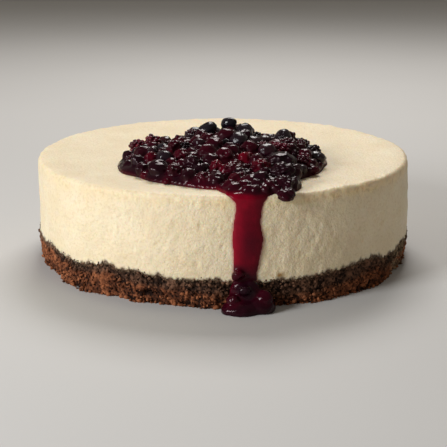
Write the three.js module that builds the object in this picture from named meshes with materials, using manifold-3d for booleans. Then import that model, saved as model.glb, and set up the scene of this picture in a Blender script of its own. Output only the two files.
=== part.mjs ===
// A baked cheesecake on a cocoa crumb base, with a heap of berry compote that runs over the rim.
// Millimetres, +Z up. The origin is the centre of the underside of the base. The sauce runs down the -Y side.
import * as THREE from "three";
import { mergeVertices } from "three/addons/utils/BufferGeometryUtils.js";
import Module from "manifold-3d";

const wasm = await Module();
wasm.setup();
const { clamp, smoothstep, lerp } = THREE.MathUtils;

// Driving dimensions of the cake, which takes its shape from a round tin
const TIN_RADIUS = 115.5;
const CAKE_HEIGHT = 64;
const FOOT_SPREAD = 1.8; // how much wider the filling is near its foot than at the rim
const RIM_ROUND = 4.5;
const TOP_DISH = 2; // how far the middle of the top lies below the rim
const BASE_MIDDLE = 14; // thickness of the crumb base away from the side
const BASE_SIDE = 17.3; // and at the side, where it was pressed up the tin
const BASE_WAVE = 2.2;
const BASE_WAVES = 5;
const BASE_WAVE_PEAK = THREE.MathUtils.degToRad(-118);
const CRUMB_RADIUS = TIN_RADIUS - 0.6;
const CRAG = 1.7; // relief of the broken crumb, either way
const GAP = 0.3; // clearance between pieces that touch
const SEGMENTS = 96;

// Driving dimensions of the compote
const POOL = { x: 0.5, y: -34, radius: 62.5, thickness: 3.6 };
const TONGUE = { x: 21, y: -85, radius: 27, thickness: 4 }; // the pool reaches the rim here
const POOL_DEPTH = 6; // how far pool and heap reach into the cake before they are cut to it
const POOL_SEGMENTS = 40;
const CORE_SEGMENTS = 28;
const HEAP_HEIGHT = 17.5;
const HEAP_LEAN = 0.3; // the heap is higher towards the back of the cake
const LOBE = { x: 29, y: -86, radius: 24, rise: 6.5 }; // the part of the heap that slid to the rim
const DRIP = { x: 13.6, width: 15.5, mouth: 26, foot: 20, thickness: 1.9 };
const BERRY_TRIES = 140; // places for a smaller berry, on a spiral like a sunflower's
const BERRY_SMALL = 4.4;
const BERRY_LARGE = 6.2;
const BRAMBLE_SHARE = 0.4;
const HEAP_SEED = 4868;

// The berries that stand out of the heap. z is worked out from the heap, except where it hangs over the rim.
const LANDMARKS = [
  { kind: "bramble", x: -54, y: -6, r: 5.9 },
  { kind: "bramble", x: -42, y: -27, r: 7.1 },
  { kind: "smooth", x: -49.5, y: -55, r: 4.6 },
  { kind: "smooth", x: -57, y: -35, r: 4.2 },
  { kind: "bramble", x: -41, y: -55, r: 4.8 },
  { kind: "smooth", x: -34, y: -63, r: 5.6 },
  { kind: "bramble", x: -28, y: -51, r: 5.6 },
  { kind: "bramble", x: -26, y: -37, r: 5.8 },
  { kind: "smooth", x: -10, y: -16, r: 6.8 },
  { kind: "smooth", x: 3.5, y: -9, r: 5, lift: 3.5 },
  { kind: "smooth", x: 14, y: -17, r: 5.8 },
  { kind: "smooth", x: 24.5, y: -33, r: 5.2 },
  { kind: "smooth", x: 37, y: -14, r: 7.1 },
  { kind: "bramble", x: 50, y: -3, r: 5.7 },
  { kind: "bramble", x: 33.5, y: -49, r: 5.6 },
  { kind: "smooth", x: 33, y: -69, r: 8 },
  { kind: "bramble", x: 33, y: -90, r: 7.4 },
  { kind: "bramble", x: 47, y: -56, r: 5.4 },
  { kind: "bramble", x: 55, y: -27, r: 5.7 },
  { kind: "smooth", x: 12.5, y: -67, r: 4.4 },
  { kind: "smooth", x: 20, y: -88, r: 5.5 },
  { kind: "bramble", x: 33.5, y: -102, r: 6.6, z: 67.5 },
  { kind: "bramble", x: 36, y: -111.5, r: 5.2, z: 62.5 },
  { kind: "smooth", x: 42.5, y: -99, r: 4.6, z: 67 },
  { kind: "smooth", x: 44.5, y: -87, r: 4.9 },
  { kind: "bramble", x: 24.5, y: -101, r: 4.6 },
  { kind: "smooth", x: 43, y: -75, r: 4.8 },
  { kind: "smooth", x: 8, y: -92, r: 4.4 },
  { kind: "bramble", x: -5, y: -87, r: 4.8 },
];

// The sauce that gathered at the foot of the drip, and the berries that it carried down
const FOOT_LUMPS = [
  { x: 10, y: -120.5, z: 1.5, across: 11, deep: 8.5, high: 6 },
  { x: 20.5, y: -118.5, z: 3, across: 8.5, deep: 7.5, high: 6.5 },
  { x: 13.5, y: -118, z: 10, across: 7.5, deep: 4, high: 8 },
];
const FOOT_BERRIES = [
  { kind: "smooth", x: 5.5, y: -121.5, z: 7, r: 4.6 },
  { kind: "smooth", x: 21.5, y: -120.5, z: 9, r: 4.8 },
  { kind: "smooth", x: 8.5, y: -119.8, z: 20, r: 3.6 },
  { kind: "bramble", x: 13.5, y: -120.5, z: 13, r: 3.8 },
];

// Repeatable draws from 0 to 1
function seededDraws(seed) {
  let state = seed >>> 0;
  return () => {
    state = (Math.imul(state, 1664525) + 1013904223) >>> 0;
    return state / 4294967296;
  };
}

// Surfaces of the cake, as heights and radii at an angle about its axis

function baseSide(angle) {
  const wave = BASE_WAVE * Math.cos(BASE_WAVES * (angle - BASE_WAVE_PEAK));
  return BASE_SIDE + wave + 0.5 * Math.sin(17 * angle + 1) + 0.4 * Math.sin(31 * angle);
}

function seamHeight(radius, angle) {
  const rise = smoothstep(radius, 0.8 * TIN_RADIUS, TIN_RADIUS);
  return lerp(BASE_MIDDLE, baseSide(angle), rise);
}

function sideRadius(z, angle) {
  const spread = FOOT_SPREAD * (1 - z / CAKE_HEIGHT);
  return TIN_RADIUS + spread + 0.35 * Math.sin(3 * angle + 0.06 * z) + 0.2 * Math.sin(8 * angle - 0.1 * z);
}

// The crumb's broken side: each corner of its facets stands in or out by its own repeatable amount
function crumbRadius(level, angle) {
  const step = Math.round((angle * SEGMENTS) / (2 * Math.PI));
  const mixed = Math.imul(step * 7919 + level * 104729 + 17, 2654435761) >>> 0;
  return CRUMB_RADIUS + CRAG * ((mixed >>> 8) / 2 ** 23 - 1);
}

function topHeight(radius) {
  return CAKE_HEIGHT - TOP_DISH * (1 - Math.min(1, radius / (0.93 * TIN_RADIUS)) ** 4);
}

// A closed solid of rings about the axis. Each ring gives its radius and height at an angle.
function ringSolid(rings, segments) {
  const flat = rings.map((_, level) => new THREE.Vector2(1, level));
  const geometry = new THREE.LatheGeometry(flat, segments);
  const position = geometry.getAttribute("position");
  for (let step = 0; step <= segments; step++) {
    const angle = (2 * Math.PI * (step % segments)) / segments;
    rings.forEach((ring, level) => {
      const radius = ring.radius(angle);
      const index = step * rings.length + level;
      position.setXYZ(index, radius * Math.cos(angle), radius * Math.sin(angle), ring.height(angle));
    });
  }
  return asManifold(geometry);
}

// A closed strand along a curve: half widths across (along X) and out of the cake, both zero at its ends
function strandSolid(curve, across, outward, around, along) {
  const geometry = new THREE.SphereGeometry(1, around, along);
  const position = geometry.getAttribute("position");
  for (let row = 0; row <= along; row++) {
    const t = row / along;
    const centre = curve.getPoint(t);
    const tangent = curve.getTangent(t);
    const normal = new THREE.Vector3(1, 0, 0).cross(tangent).normalize();
    for (let column = 0; column <= around; column++) {
      const turn = (2 * Math.PI * (column % around)) / around;
      const point = centre.clone().addScaledVector(normal, outward(t) * Math.sin(turn));
      point.x += across(t) * Math.cos(turn);
      position.setXYZ(row * (around + 1) + column, point.x, point.y, point.z);
    }
  }
  return asManifold(geometry);
}

function asManifold(geometry) {
  const bare = new THREE.BufferGeometry();
  bare.setAttribute("position", geometry.getAttribute("position"));
  bare.setIndex(geometry.index);
  const merged = mergeVertices(bare, 1e-4);
  const vertProperties = new Float32Array(merged.getAttribute("position").array);
  const triVerts = new Uint32Array(merged.index.array);
  const solid = new wasm.Manifold(new wasm.Mesh({ numProp: 3, vertProperties, triVerts }));
  if (solid.volume() > 0) return solid;
  for (let first = 0; first < triVerts.length; first += 3) {
    [triVerts[first + 1], triVerts[first + 2]] = [triVerts[first + 2], triVerts[first + 1]];
  }
  return new wasm.Manifold(new wasm.Mesh({ numProp: 3, vertProperties, triVerts }));
}

function asMesh(name, solid, material) {
  const { vertProperties, triVerts } = solid.getMesh();
  const geometry = new THREE.BufferGeometry();
  geometry.setAttribute("position", new THREE.BufferAttribute(new Float32Array(vertProperties), 3));
  geometry.setIndex(new THREE.BufferAttribute(new Uint32Array(triVerts), 1));
  geometry.computeVertexNormals();
  const mesh = new THREE.Mesh(geometry, material);
  mesh.name = name;
  return mesh;
}

function largestPiece(solid) {
  const pieces = solid.decompose();
  return pieces.reduce((best, piece) => (piece.volume() > best.volume() ? piece : best));
}

const ring = (radius, height) => ({ radius, height });
const fixed = (value) => () => value;

// Radii that the underside of the filling shares with the top of the base, so that the two fit
const SEAM_RADII = [0, 0.8, 0.96].map((share) => share * TIN_RADIUS);

function seamRings(offset) {
  return SEAM_RADII.map((radius) => ring(fixed(radius), (angle) => seamHeight(radius, angle) + offset));
}

// The crumb base: flat below, broken at the side, with a corner that crumbles away under the filling
function crumbBase() {
  const corner = ring((angle) => crumbRadius(6, angle) - 0.6, (angle) => baseSide(angle) - 1);
  const side = [0.8, 0.55, 0.3, 0.08].map((share, level) =>
    ring((angle) => crumbRadius(level, angle), (angle) => share * baseSide(angle)),
  );
  const foot = ring((angle) => crumbRadius(5, angle) - 1.5, fixed(0));
  return ringSolid([...seamRings(-GAP / 2), corner, ...side, foot, ring(fixed(0), fixed(0))], SEGMENTS);
}

// The filling, grown outwards by a clearance where it is used to cut the sauce
function fillingRings(grown) {
  const side = (height) =>
    ring((angle) => sideRadius(height(angle), angle) + grown, height);
  const edge = side((angle) => seamHeight(TIN_RADIUS, angle) + GAP / 2 - grown);
  const wall = side(fixed(0.55 * CAKE_HEIGHT));
  const corner = [0, 45, 90].map((degrees) => {
    const turn = THREE.MathUtils.degToRad(degrees);
    const inset = RIM_ROUND * (1 - Math.cos(turn));
    const height = CAKE_HEIGHT - RIM_ROUND * (1 - Math.sin(turn)) + grown * Math.sin(turn);
    return ring((angle) => sideRadius(height, angle) - inset + grown * Math.cos(turn), fixed(height));
  });
  const top = [0.85, 0.6, 0].map((share) =>
    ring(fixed(share * TIN_RADIUS), fixed(topHeight(share * TIN_RADIUS) + grown)),
  );
  return [...seamRings(GAP / 2 - grown), edge, wall, ...corner, ...top];
}

const filling = ringSolid(fillingRings(0), SEGMENTS);
const base = crumbBase();

// The whole cake with a clearance all round, down past its underside
function cakeCutter() {
  const below = fixed(-5);
  const reach = fixed(CRUMB_RADIUS + CRAG + GAP);
  const skirt = [ring(fixed(0), below), ring(reach, below)];
  const inside = [ring(reach, (angle) => baseSide(angle) + 1), ring(fixed(0), fixed(BASE_MIDDLE + 1))];
  return ringSolid([...skirt, ...inside], SEGMENTS).add(ringSolid(fillingRings(GAP), SEGMENTS));
}

const cake = cakeCutter();

// The compote

function poolEdge(pool, turn) {
  const wave = 0.03 * Math.sin(3 * turn + 2) + 0.02 * Math.sin(7 * turn) + 0.012 * Math.sin(13 * turn + 1);
  return pool.radius * (1 + wave);
}

// The cake's top under a point of a round patch, at a share of the patch's radius
function topUnder(patch, share, turn) {
  const x = patch.x + share * patch.radius * Math.cos(turn);
  const y = patch.y + share * patch.radius * Math.sin(turn);
  return topHeight(Math.hypot(x, y));
}

// A flat pool with a rounded edge. Its underside is left inside the cake, and is cut away later.
function poolSolid(pool, grown) {
  const edgeRing = (share, rise) =>
    ring((turn) => share * poolEdge(pool, turn) + grown, (turn) => topUnder(pool, share, turn) + rise);
  const middle = topUnder(pool, 0, 0);
  const rings = [
    ring(fixed(0), fixed(middle - POOL_DEPTH)),
    edgeRing(1.02, -POOL_DEPTH),
    edgeRing(1.02, grown - 0.2 * pool.thickness),
    edgeRing(0.97, grown + 0.6 * pool.thickness),
    edgeRing(0.88, grown + pool.thickness),
    ring(fixed(0), fixed(middle + pool.thickness + grown)),
  ];
  return ringSolid(rings, POOL_SEGMENTS).translate([pool.x, pool.y, 0]);
}

// The sauce that runs over the rim, down the side and out at the foot
function dripSolid(grown) {
  const wall = (z) => sideRadius(z, -Math.PI / 2) * Math.cos(DRIP.x / TIN_RADIUS);
  const heights = [0.97, 0.8, 0.6, 0.4, 0.2].map((share) => share * CAKE_HEIGHT);
  const path = new THREE.CatmullRomCurve3([
    new THREE.Vector3(DRIP.x, -wall(CAKE_HEIGHT) + 26, CAKE_HEIGHT + 0.8),
    new THREE.Vector3(DRIP.x, -wall(CAKE_HEIGHT) + 8, CAKE_HEIGHT + 1.2),
    ...heights.map((z) => new THREE.Vector3(DRIP.x, -wall(z) - 0.1, z)),
    new THREE.Vector3(DRIP.x, -wall(0) - 2.5, 7),
    new THREE.Vector3(DRIP.x, -wall(0) - 9, 2.5),
  ]);
  const taper = (t) => Math.min(1, Math.sqrt(Math.sin(Math.PI * clamp(t, 0, 1)) * 2.2));
  const across = (t) => {
    const mouth = 1 - smoothstep(t, 0.3, 0.5);
    const foot = smoothstep(t, 0.78, 0.95);
    const width = DRIP.width + (DRIP.mouth - DRIP.width) * mouth + (DRIP.foot - DRIP.width) * foot;
    return taper(t) * (width / 2 + 0.6 * Math.sin(19 * t) + grown);
  };
  const outward = (t) => taper(t) * (DRIP.thickness + 1.2 * smoothstep(t, 0.75, 0.95) + grown);
  return strandSolid(path, across, outward, 10, 20);
}

function lumpSolid(lump, grown) {
  const geometry = new THREE.SphereGeometry(1, 14, 9);
  geometry.scale(lump.across + grown, lump.deep + grown, lump.high + grown);
  geometry.translate(lump.x, lump.y, lump.z);
  return asManifold(geometry);
}

// Heap surface above the cake's top: a dome that leans back, and the lobe in front of it
function heapRise(x, y) {
  const dome = 1 - (Math.hypot(x - POOL.x, y - POOL.y) / POOL.radius) ** 2;
  const lobe = 1 - (Math.hypot(x - LOBE.x, y - LOBE.y) / LOBE.radius) ** 2;
  const lean = 1 + (HEAP_LEAN * (y - POOL.y)) / POOL.radius;
  return Math.max(HEAP_HEIGHT * Math.max(0, dome) ** 0.8 * lean, LOBE.rise * Math.sqrt(Math.max(0, lobe)));
}

function seated(berry) {
  if (berry.z) return berry;
  const bed = Math.max(heapRise(berry.x, berry.y) + 0.25 * berry.r, 0.8 * berry.r);
  return { ...berry, z: topHeight(Math.hypot(berry.x, berry.y)) + bed + (berry.lift || 0) };
}

// The landmarks, and the smaller berries that fill the heap between them
function heapBerries() {
  const draw = seededDraws(HEAP_SEED);
  const berries = LANDMARKS.map(seated);
  const goldenAngle = Math.PI * (3 - Math.sqrt(5));
  for (let count = 0; count < BERRY_TRIES; count++) {
    const reach = 0.95 * POOL.radius * Math.sqrt((count + 0.5) / BERRY_TRIES);
    const turn = count * goldenAngle;
    const x = POOL.x + reach * Math.cos(turn) + 3 * (draw() - 0.5);
    const y = POOL.y + reach * Math.sin(turn) + 3 * (draw() - 0.5);
    const r = lerp(BERRY_SMALL, BERRY_LARGE, draw());
    const kind = draw() < BRAMBLE_SHARE ? "bramble" : "smooth";
    const free = berries.every((other) => Math.hypot(x - other.x, y - other.y) > 0.78 * (r + other.r));
    if (free) berries.push(seated({ kind, x, y, r, plain: true }));
  }
  return berries;
}

// A smooth berry is round. A bramble berry has a drupelet at each corner of an icosahedron.
// One that is plain or small has the fewest sides of its kind.
function berryGeometry(berry) {
  const few = berry.plain || berry.r < 5;
  if (few && berry.kind === "smooth") return new THREE.DodecahedronGeometry(1.08, 0);
  if (few) return new THREE.IcosahedronGeometry(1.1, 0);
  const geometry = new THREE.IcosahedronGeometry(1.04, 1);
  if (berry.kind === "smooth") return geometry;
  const corners = new THREE.IcosahedronGeometry(1.04, 0).getAttribute("position");
  const position = geometry.getAttribute("position");
  for (let index = 0; index < position.count; index++) {
    const point = new THREE.Vector3().fromBufferAttribute(position, index);
    const corner = new THREE.Vector3();
    let nearest = Infinity;
    for (let other = 0; other < corners.count; other++) {
      nearest = Math.min(nearest, point.distanceTo(corner.fromBufferAttribute(corners, other)));
    }
    if (nearest > 0.1) point.multiplyScalar(0.82);
    position.setXYZ(index, point.x, point.y, point.z);
  }
  return geometry;
}

function berrySolid(berry, grown = 0) {
  const geometry = berryGeometry(berry);
  geometry.scale(berry.r + grown, berry.r + grown, berry.r + grown);
  geometry.rotateX(berry.x);
  geometry.rotateZ(berry.y);
  geometry.translate(berry.x, berry.y, berry.z);
  return asManifold(geometry);
}

// What fills the heap, or its lobe, under the berries
function heapCore(mound) {
  const height = (share) => (turn) => {
    const x = mound.x + share * mound.radius * Math.cos(turn);
    const y = mound.y + share * mound.radius * Math.sin(turn);
    return topUnder(mound, share, turn) + heapRise(x, y);
  };
  const floor = fixed(CAKE_HEIGHT - POOL_DEPTH);
  const foot = [0, 0.95].map((share) => ring(fixed(share * mound.radius), floor));
  const mantle = [0.95, 0.75, 0.4, 0].map((share) => ring(fixed(share * mound.radius), height(share)));
  return ringSolid([...foot, ...mantle], CORE_SEGMENTS).translate([mound.x, mound.y, 0]);
}

function sauceBody(grown) {
  const puddle = FOOT_LUMPS.map((lump) => lumpSolid(lump, grown));
  return wasm.Manifold.union([poolSolid(POOL, grown), poolSolid(TONGUE, grown), dripSolid(grown), ...puddle]);
}

// What would lie below the surface that the cake stands on
function underTable() {
  const slab = new THREE.BoxGeometry(4 * TIN_RADIUS, 4 * TIN_RADIUS, 20);
  slab.translate(0, 0, -10);
  return asManifold(slab);
}

const footRoom = FOOT_BERRIES.map((berry) => berrySolid(berry, GAP));
const sauce = largestPiece(sauceBody(0).subtract(wasm.Manifold.union([cake, underTable(), ...footRoom])));
const fruit = heapBerries().map((berry) => berrySolid(berry));
const heapBody = wasm.Manifold.union([heapCore(POOL), heapCore(LOBE), ...fruit]);
const heap = largestPiece(heapBody.subtract(sauceBody(GAP)).subtract(cake));

function matte(color, roughness) {
  return new THREE.MeshStandardMaterial({ color, roughness, metalness: 0 });
}

const materials = {
  crumb: matte("#4a2a1c", 0.95),
  filling: matte("#f1e2bd", 0.6),
  sauce: matte("#7a0418", 0.12),
  berries: matte("#2c0a18", 0.25),
};

const cheesecake = new THREE.Group();
cheesecake.add(asMesh("crumb_base", base, materials.crumb));
cheesecake.add(asMesh("cheese_filling", filling, materials.filling));
cheesecake.add(asMesh("sauce", sauce, materials.sauce));
cheesecake.add(asMesh("berry_heap", heap, materials.berries));
FOOT_BERRIES.forEach((berry, index) => {
  const trimmed = largestPiece(berrySolid(berry).subtract(cake));
  cheesecake.add(asMesh(`foot_berry_${index + 1}`, trimmed, materials.berries));
});

export default cheesecake;
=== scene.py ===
# The looks of a baked cheesecake with berry compote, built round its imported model.
# Sizes are in millimetres, as in the model's source, and become metres where a mesh is made.
import itertools
import math

import bmesh
import bpy
import numpy as np
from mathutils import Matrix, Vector


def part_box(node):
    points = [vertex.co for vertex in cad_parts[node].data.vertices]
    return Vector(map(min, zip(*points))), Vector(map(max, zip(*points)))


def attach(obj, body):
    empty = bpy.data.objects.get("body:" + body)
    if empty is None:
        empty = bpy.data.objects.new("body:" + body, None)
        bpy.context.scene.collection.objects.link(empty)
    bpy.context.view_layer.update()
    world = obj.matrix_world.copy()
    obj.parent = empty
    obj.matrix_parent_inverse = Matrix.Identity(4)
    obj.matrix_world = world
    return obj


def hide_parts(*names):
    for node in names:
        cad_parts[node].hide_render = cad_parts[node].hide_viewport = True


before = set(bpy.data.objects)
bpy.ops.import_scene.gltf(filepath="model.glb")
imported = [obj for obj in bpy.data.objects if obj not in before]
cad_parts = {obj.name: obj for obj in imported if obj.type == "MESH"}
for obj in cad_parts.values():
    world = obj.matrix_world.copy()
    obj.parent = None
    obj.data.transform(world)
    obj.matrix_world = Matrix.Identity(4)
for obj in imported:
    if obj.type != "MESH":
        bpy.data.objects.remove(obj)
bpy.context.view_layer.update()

MM = 0.001

# The cake, as the model has it
CAKE_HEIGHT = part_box("cheese_filling")[1].z / MM
TIN_RADIUS = 115.5
FOOT_SPREAD = 1.8
TOP_DISH = 2
BASE_MIDDLE = 14
CRUMB_RADIUS = TIN_RADIUS - 0.6

# The rim is rounded, a little tighter than the model's
RIM_ROUND = 2.5

# How finely the cake is divided: steps round it, and rings of the filling's side, rim and top
FILLING_STEPS = 960
CRUMB_STEPS = 1500
SIDE_RINGS = 46
RIM_RINGS = 8
TOP_RINGS = 26
CRUMB_RINGS = 36

# Height of the seam between crumb and filling, by the angle to the right of the front in degrees
SEAM = [
    (-150, 16),
    (-120, 18.6),
    (-90, 18),
    (-75, 19),
    (-65, 19.3),
    (-60, 18.6),
    (-55, 17.6),
    (-50, 16),
    (-44, 16.5),
    (-38, 18.2),
    (-34, 20.3),
    (-29, 18.6),
    (-23, 19.2),
    (-14.5, 16.8),
    (-6, 17),
    (1, 16.7),
    (11, 15.5),
    (22, 16.3),
    (31, 17.4),
    (37, 17.9),
    (41, 18.3),
    (47, 18.2),
    (54, 15.6),
    (60, 15.6),
    (66, 17.4),
    (77, 16.3),
    (105, 18),
    (135, 15.6),
    (165, 19),
    (190, 17.5),
]

# Radius of the broken foot of the crumb, by the same angle
FOOT = [
    (-110, 115.5),
    (-78, 114.5),
    (-65, 112),
    (-59, 112.2),
    (-54, 117),
    (-49, 115.2),
    (-43.5, 118.4),
    (-39, 114.8),
    (-31, 111.2),
    (-25.6, 115.2),
    (-20, 112.3),
    (-10, 112.8),
    (-4.5, 116.4),
    (0, 114),
    (20, 113.8),
    (26, 116.8),
    (38, 115.2),
    (46, 117.4),
    (55, 116),
    (64, 112.5),
    (73, 113),
    (90, 116),
    (115, 112.5),
    (145, 116.5),
    (175, 113),
    (210, 116),
]

# How deep below the seam the filling soaked the crumb, by the same angle. It is deeper at the right, away
# from the key lamp, so the darker band there is also painted shade.
SOAKED_AND_SHADE = [
    (-90, 4.5),
    (-55, 4),
    (-40, 5.5),
    (-25, 8),
    (-10, 7.5),
    (5, 10),
    (20, 12.5),
    (35, 11),
    (50, 8),
    (90, 6),
    (180, 5),
]

# Where the filling is smeared over the crumb, in degrees
SMEAR = {"angle": 66.5, "half_width": 7}

# A hollow in the crumb, left of the drip, whose inside is also painted darker as painted shade. The angle
# and the half width are in degrees
HOLLOW = {"angle": -20.8, "half_width": 3.2, "z": 6, "half_height": 2, "depth": 3.6}

# Crags of the crumb: how far across, how deep, and a seed
CRAGS = [
    (6.5, 1.5, 20),
    (2.6, 1.1, 30),
    (1.4, 1.0, 40),
]

# Loose crumb: how many, and the shares of it that lie on the broken side and at the seam
GRAIN_COUNT = 5600
GRAINS_ON_SIDE = 0.56
GRAINS_AT_SEAM = 0.34

# A toasted spot over the seam, right of the drip
TOASTED = {"x": 30.4, "z": 18.6, "half_width": 3.8, "half_height": 1.4}

# The compote, as the model has it
POOL = {"x": 0.5, "y": -34, "radius": 62.5, "thickness": 3.6}
LOBE = {"x": 29, "y": -86, "radius": 24, "rise": 6.5}
HEAP_LEAN = 0.3
BRAMBLE_SHARE = 0.4
HEAP_SEED = 4868

# The core of the heap is a little lower than the model's, and the sauce lies over it
HEAP_HEIGHT = 16

# Dips along the back of the heap: middle, half width and the share of its height that is missing
HEAP_DIPS = [(-36, 4.5, 0.65), (-27, 5, 0.3), (-3.5, 4, 0.25), (22, 4.5, 0.35), (30, 3.5, 0.25)]

# Berries that fill the heap: tries, smallest and largest radius, and the least gap between two middles,
# as a share of their radii together. The last round makes scraps of fruit.
HEAP_ROUNDS = [
    (140, 4.4, 6.2, 0.78),
    (260, 2.6, 4, 0.7),
    (420, 1.4, 2.3, 0.72),
]
DRUPELETS = 34

# Berries that stand out: kind, x, y, radius, redness from 0 to 1, height of the middle or None
LANDMARKS = [
    ("bramble", -54, -6, 5.7, 0.8, 69),
    ("bramble", -43, -14, 6.8, 0.85, 72),
    ("smooth", -49.5, -54, 4.6, 0.05, None),
    ("smooth", -57.5, -33, 4.2, 0.1, None),
    ("bramble", -42, -53, 4.8, 0.6, None),
    ("smooth", -34, -59, 5.6, 0.1, None),
    ("bramble", -29, -47, 5.6, 0.4, None),
    ("bramble", -26, -30, 5.8, 0.45, None),
    ("bramble", -19, -16, 4.4, 0.5, 78),
    ("smooth", -10, -14, 6.4, 0, 79.8),
    ("smooth", 3.5, -6, 5, 0, 83),
    ("smooth", 13.5, -15, 5.6, 0.05, 79.5),
    ("smooth", 25, -24, 5.2, 0.3, None),
    ("smooth", 37, -12, 6.8, 0.1, 74.5),
    ("bramble", 49, -3, 5.5, 0.5, 69.3),
    ("bramble", 33.5, -46, 5.6, 0.9, None),
    ("smooth", 33.5, -67, 8, 0, None),
    ("bramble", 33, -90, 7.4, 0.05, None),
    ("bramble", 47, -56, 5.4, 0.6, None),
    ("bramble", 54.5, -25, 5.2, 0.2, None),
    ("smooth", 12.5, -66, 4.4, 0.9, None),
    ("bramble", 33, -102, 6.2, 0.1, 67.5),
    ("bramble", 34, -110.5, 4.5, 0.15, 64),
    ("smooth", 33.5, -114.5, 2.6, 0.2, 63),
    ("smooth", 37.8, -98.5, 3.8, 0.1, 67),
    ("smooth", 39.5, -86.5, 4.2, 0.2, None),
    ("smooth", 40.5, -74, 4.4, 0.1, None),
    ("smooth", 45, -66, 3.8, 0.2, None),
    ("smooth", 52, -54, 3.8, 0.2, None),
    ("smooth", -56, -49, 3.6, 0.1, None),
    ("smooth", -46.5, -65, 4, 0.1, None),
    ("smooth", -36, -73, 5.8, 0.05, None),
    ("bramble", -27, -77.5, 5.8, 0.3, None),
    ("smooth", -19, -86, 4.8, 0.15, None),
    ("bramble", -11, -89, 4.8, 0.45, None),
    ("smooth", -3.5, -91, 4.6, 0.1, None),
    ("bramble", 5.5, -80, 5.5, 0.45, None),
    ("bramble", 8, -95.5, 5.2, 0.45, None),
    ("smooth", 14.5, -100, 4.2, 0.2, None),
    ("smooth", 20.5, -99, 5.4, 0.05, None),
    ("bramble", 25.5, -105, 4.6, 0.3, 67.3),
    ("smooth", 4, -104, 4, 0.4, None),
    ("bramble", 11, -104.5, 4.2, 0.4, 67.3),
    ("smooth", 18.5, -105.5, 3.6, 0.1, 67.3),
    ("smooth", 6, -107.5, 2.8, 0.3, 67),
    ("smooth", 13, -110.3, 2.6, 0.35, 66.7),
    ("smooth", 17.5, -110.8, 2.9, 0.2, 66.5),
    ("smooth", 22.8, -110.2, 2.7, 0.3, 66.6),
    ("smooth", 28.5, -108, 2.8, 0.2, 66.6),
]

# Berries in the puddle and at the end of the drip, in the same order of values
FOOT_BERRIES = [
    ("smooth", 5, -121.3, 4.2, 0.4, 6.5),
    ("smooth", 22.4, -120.2, 4.2, 0.35, 8.4),
    ("smooth", 8, -118.2, 3.3, 0.4, 20.5),
    ("bramble", 12, -120.4, 3.5, 0.05, 13),
]

# Lumps of sauce there: middle and half sizes
FOOT_LUMPS = [
    ((10, -120.5, 1.5), (11, 8.5, 6)),
    ((20.5, -118.5, 3), (8.5, 7.5, 6.5)),
    ((13.5, -118, 10), (7.5, 4, 8)),
]

# Height, left edge and right edge of the sauce that runs down the side
DRIP_EDGES = [
    (0, 1, 24),
    (8, 3, 20),
    (18, 5.2, 18.2),
    (27, 5.5, 19.8),
    (35, 5, 21.5),
    (40, 4.7, 22.1),
    (45, 5, 21),
    (49, 5.3, 20.4),
    (56, 6.5, 21.2),
    (60, 6.2, 22.2),
    (63, 3.8, 24.5),
    (64, 1, 28),
]
DRIP_THICKNESS = 1.9

# Outline of the pool: turn about its middle in degrees, 270 being the front, and how far it reaches
POOL_EDGE = [
    (0, 62.5),
    (9, 63.7),
    (19, 65),
    (60, 61),
    (90, 60),
    (150, 62),
    (187, 65),
    (200, 63.5),
    (212, 60.5),
    (240, 61),
    (258, 63),
    (266, 65.5),
    (271, 80),
    (300, 81),
    (305, 75),
    (312, 62),
    (320, 57.7),
    (332, 58.6),
    (345, 60.2),
]

# How the sauce lies: how softly it passes between berries, how far it sinks below them, how thick it
# coats them, how far it reaches into the cake, and its level over the core of the heap
MENISCUS = 1.2
SINK = 1.5
COAT = 0.35
SAUCE_BELOW = 1.6
SAUCE_LEVEL = 1.1

# How finely the sauce is made: steps of its grids, size of a voxel, and the share of faces that is kept
POOL_STEP = 0.9
DRIP_STEPS = (0.6, 0.7)
SAUCE_VOXEL = 0.6
SAUCE_FACES_KEPT = 0.58

# The camera, fitted to the photo: elevation in degrees, lengths in metres but for the lens
CAMERA = {"lens": 91.3, "distance": 0.7313, "elevation": 15.794, "target": (0.00015, 0, 0.0163)}

# Square lamps, the point that they aim at, and the light of the room: places and sizes in metres
LAMPS = {
    "key": {"place": (-0.764, -0.608, 0.46), "size": 0.34, "watts": 8.7, "color": (0.97, 0.99, 1)},
    "overhead": {"place": (0.08, 0.76, 0.98), "size": 0.55, "watts": 9.9, "color": (1, 0.98, 0.95)},
}
LAMPS_AIM = (0, 0, 0.04)
ROOM = {"color": (1, 0.915, 0.79, 1), "strength": 0.2}
FLOOR_REACH = 6

GOLDEN_ANGLE = math.pi * (3 - math.sqrt(5))


# Repeatable values

def seeded_draws(seed):
    """Draws from 0 to 1, the same as the model's source makes."""
    state = seed
    while True:
        state = (state * 1664525 + 1013904223) % 2**32
        yield state / 2**32


def hashed(i, j, k, seed):
    """A repeatable value from 0 to 1 for each whole-number lattice point."""
    mixed = (i * 374761393 + j * 668265263 + k * 1274126177 + seed * 974634777) & 0xFFFFFFFF
    mixed = ((mixed ^ (mixed >> 13)) * 1274126177) & 0xFFFFFFFF
    mixed = ((mixed ^ (mixed >> 15)) * 668265263) & 0xFFFFFFFF
    return ((mixed ^ (mixed >> 16)) & 0xFFFFFF) / 0xFFFFFF


def noise(points, scale, seed=0):
    """Smooth noise from -1 to 1 at points in millimetres, with features about scale across."""
    place = points / scale
    cell = np.floor(place).astype(np.int64)
    share = place - cell
    share = share * share * (3 - 2 * share)
    total = np.zeros(len(points))
    for corner in itertools.product((0, 1), repeat=3):
        weight = np.prod(np.where(corner, share, 1 - share), axis=1)
        total += weight * hashed(*(cell + corner).T, seed)
    return 2 * total - 1


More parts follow.
